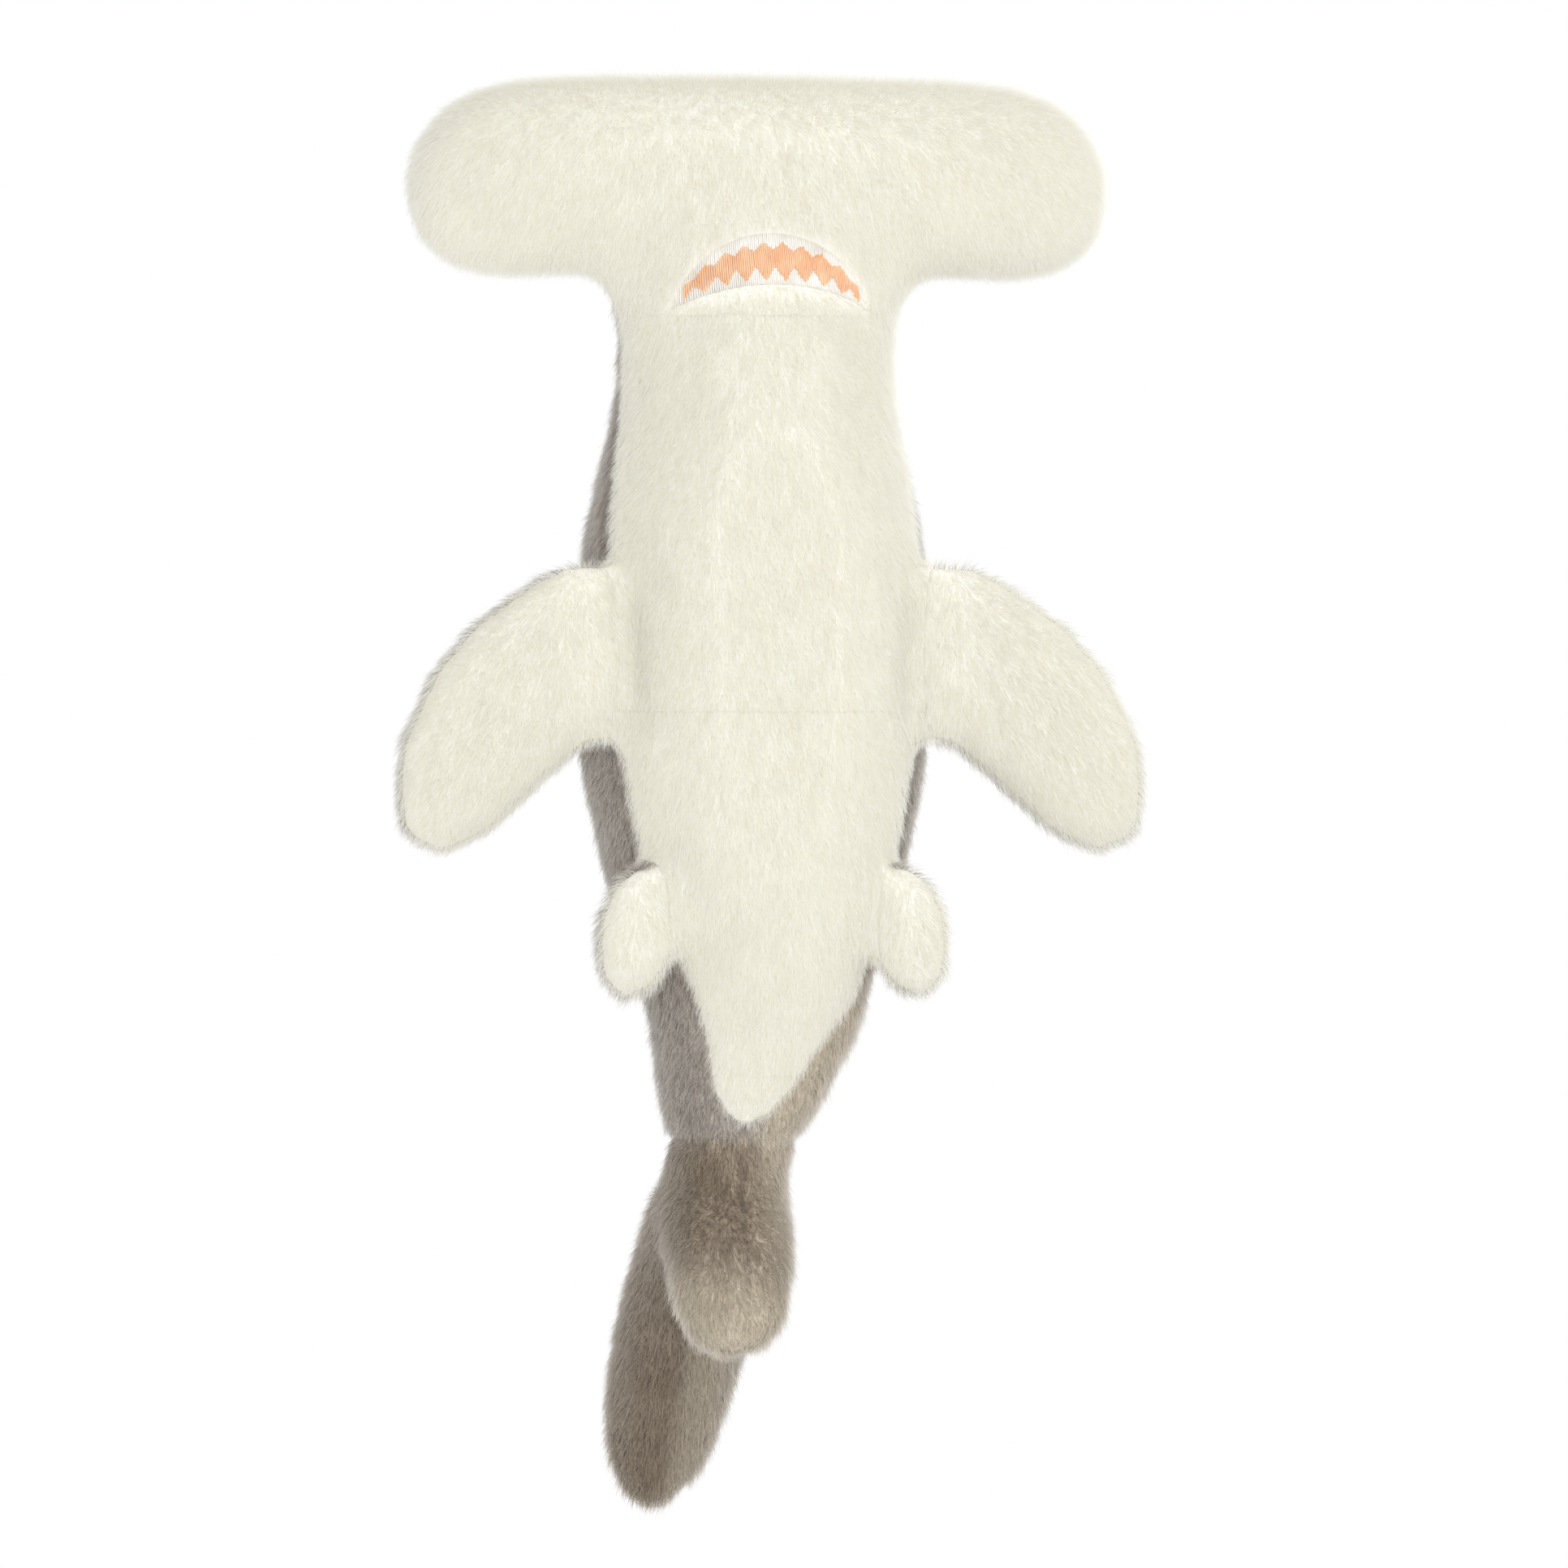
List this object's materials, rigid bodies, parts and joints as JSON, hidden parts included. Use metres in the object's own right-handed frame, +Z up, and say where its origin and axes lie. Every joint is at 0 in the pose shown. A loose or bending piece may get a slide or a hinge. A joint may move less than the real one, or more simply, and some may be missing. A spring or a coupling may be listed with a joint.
{
  "type": "plush shark",
  "caption": "Plush hammerhead shark lying on its belly, with a bending neck and tail, soft fins, stitched mouth and glossy eyes.",
  "frame": {"origin": "centre of the flat of the belly where the toy rests, midway between the roots of the two pectoral fins", "axes": "+Z up, +Y from the nose to the tail, +X to the animal's left"},
  "size_m": [0.201, 0.3832, 0.1287],
  "materials": {
    "grey_pile": "short grey plush pile, brushed towards the tail",
    "cream_pile": "short cream plush pile",
    "satin_thread": "glossy satin stitch",
    "gum_thread": "glossy satin stitch",
    "fibre_filling": "loose white polyester fibre",
    "pouch_cloth": "thin woven cloth",
    "eye_plastic": "polished black",
    "washer_plastic": "natural moulded"
  },
  "bodies": {
    "trunk": {"back_panel_left": "grey_pile", "back_panel_right": "grey_pile", "belly_panel": "cream_pile", "body_stuffing": "fibre_filling", "pellet_pouch": "pouch_cloth"},
    "head": {"head_top_panel": "grey_pile", "head_underside_panel": "cream_pile", "mouth_patch": "satin_thread", "gum_embroidery": "gum_thread", "head_stuffing": "fibre_filling", "eye_left": "eye_plastic", "eye_right": "eye_plastic", "eye_washer_left": "washer_plastic", "eye_washer_right": "washer_plastic"},
    "tail_stock": {"tail_panel_left": "grey_pile", "tail_panel_right": "grey_pile", "tail_belly_panel": "cream_pile", "tail_stuffing": "fibre_filling"},
    "tail_fin": {"tail_fin_panel_left": "grey_pile", "tail_fin_panel_right": "grey_pile", "tail_fin_stuffing": "fibre_filling"},
    "pectoral_left": {"pectoral_left_top_panel": "grey_pile", "pectoral_left_under_panel": "cream_pile", "pectoral_left_stuffing": "fibre_filling"},
    "pectoral_right": {"pectoral_right_top_panel": "grey_pile", "pectoral_right_under_panel": "cream_pile", "pectoral_right_stuffing": "fibre_filling"},
    "pelvic_left": {"pelvic_left_top_panel": "grey_pile", "pelvic_left_under_panel": "cream_pile", "pelvic_left_stuffing": "fibre_filling"},
    "pelvic_right": {"pelvic_right_top_panel": "grey_pile", "pelvic_right_under_panel": "cream_pile", "pelvic_right_stuffing": "fibre_filling"},
    "dorsal": {"dorsal_panel_left": "grey_pile", "dorsal_panel_right": "grey_pile", "dorsal_stuffing": "fibre_filling"},
    "rear_dorsal": {"rear_dorsal_panel_left": "grey_pile", "rear_dorsal_panel_right": "grey_pile", "rear_dorsal_stuffing": "fibre_filling"}
  },
  "joints": [
    {"name": "neck_nod", "type": "hinge", "parent": "trunk", "child": "head", "pos_m": [0, -0.084, 0.034], "axis": [1, 0, 0], "range_deg": [-25, 18], "stiffness_Nm_per_rad": 0.6},
    {"name": "tail_sway", "type": "hinge", "parent": "trunk", "child": "tail_stock", "pos_m": [0, 0.084, 0.037], "axis": [0, 0, 1], "range_deg": [-37, 19], "stiffness_Nm_per_rad": 0.15},
    {"name": "tail_fin_sway", "type": "hinge", "parent": "tail_stock", "child": "tail_fin", "pos_m": [-0.00532, 0.11758, 0.039], "axis": [0, 0, 1], "range_deg": [-23, 26], "stiffness_Nm_per_rad": 0.05},
    {"name": "pectoral_left_flap", "type": "hinge", "parent": "trunk", "child": "pectoral_left", "pos_m": [0.0452, -0.01, 0.016], "axis": [0, 1, 0], "range_deg": [-50, 25], "stiffness_Nm_per_rad": 0.04},
    {"name": "pectoral_right_flap", "type": "hinge", "parent": "trunk", "child": "pectoral_right", "pos_m": [-0.0452, -0.01, 0.016], "axis": [0, -1, 0], "range_deg": [-50, 25], "stiffness_Nm_per_rad": 0.04},
    {"name": "pelvic_left_flap", "type": "hinge", "parent": "trunk", "child": "pelvic_left", "pos_m": [0.031, 0.057, 0.0095], "axis": [-0.0698, 0.9976, 0], "range_deg": [-30, 25], "stiffness_Nm_per_rad": 0.001},
    {"name": "pelvic_right_flap", "type": "hinge", "parent": "trunk", "child": "pelvic_right", "pos_m": [-0.031, 0.057, 0.0095], "axis": [-0.0698, -0.9976, 0], "range_deg": [-30, 25], "stiffness_Nm_per_rad": 0.001},
    {"name": "dorsal_flop", "type": "hinge", "parent": "trunk", "child": "dorsal", "pos_m": [0, -0.008, 0.0805], "axis": [0, 0.9997, -0.0262], "range_deg": [-50, 50], "stiffness_Nm_per_rad": 0.02},
    {"name": "rear_dorsal_flop", "type": "hinge", "parent": "tail_stock", "child": "rear_dorsal", "pos_m": [0, 0.084, 0.0672], "axis": [-0.153, 0.9661, -0.2079], "range_deg": [-40, 40], "stiffness_Nm_per_rad": 0.0005}
  ]
}
